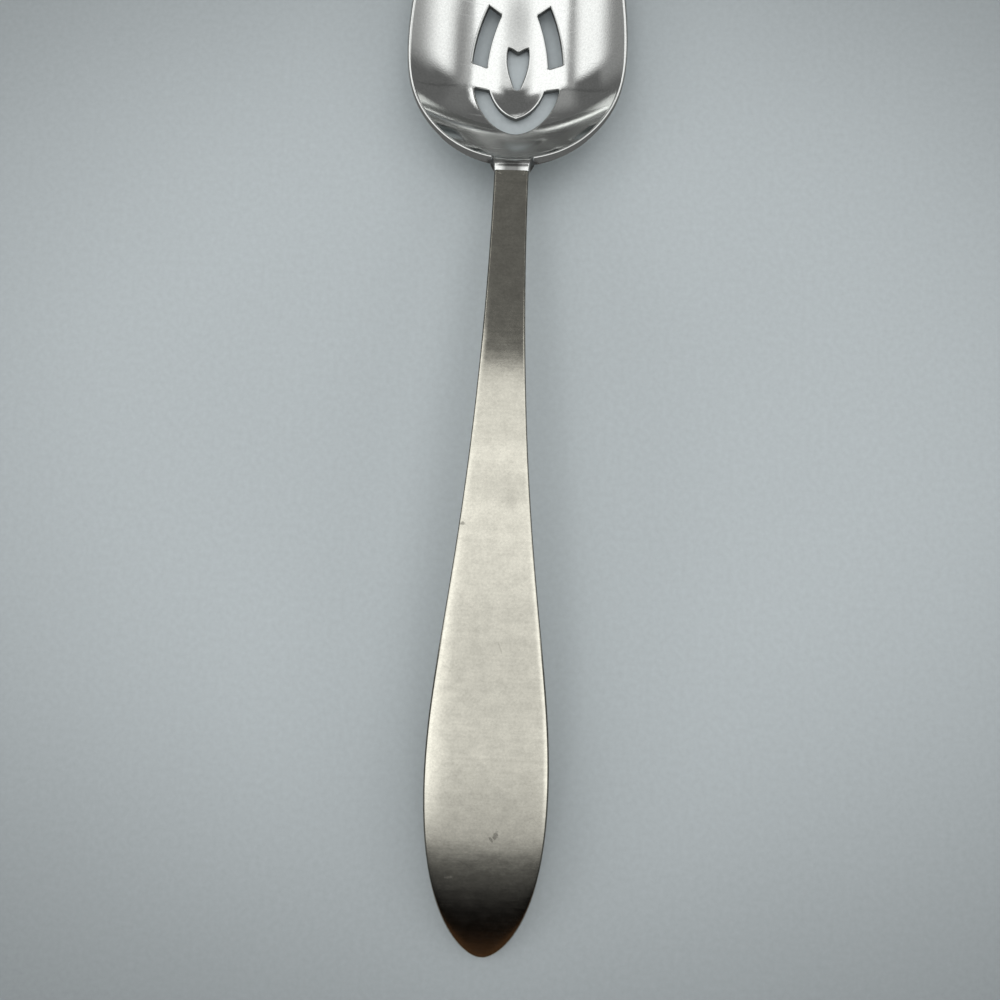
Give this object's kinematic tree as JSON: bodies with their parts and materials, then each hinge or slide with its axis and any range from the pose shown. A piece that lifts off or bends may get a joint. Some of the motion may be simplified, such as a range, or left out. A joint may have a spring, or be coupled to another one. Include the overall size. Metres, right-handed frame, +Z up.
{
  "type": "slotted serving spoon",
  "caption": "Serving spoon with a mirror-polished egg-shaped bowl, pierced floor and a satin arched handle with a pointed tip.",
  "frame": {"origin": "middle of the spoon's length and width, on the table that it lies on", "axes": "+X to the right, +Y from the handle's tip to the bowl's tip, +Z up, with the bowl opening upwards"},
  "size_m": [0.045, 0.2242, 0.0244],
  "materials": {
    "bowl_polish": "mirror-polished stainless steel with fine scratches of use",
    "handle_satin": "satin stainless steel, finely brushed across, with rubbed edges"
  },
  "bodies": {
    "root": {"bowl": "bowl_polish", "handle": "handle_satin"}
  },
  "joints": []
}
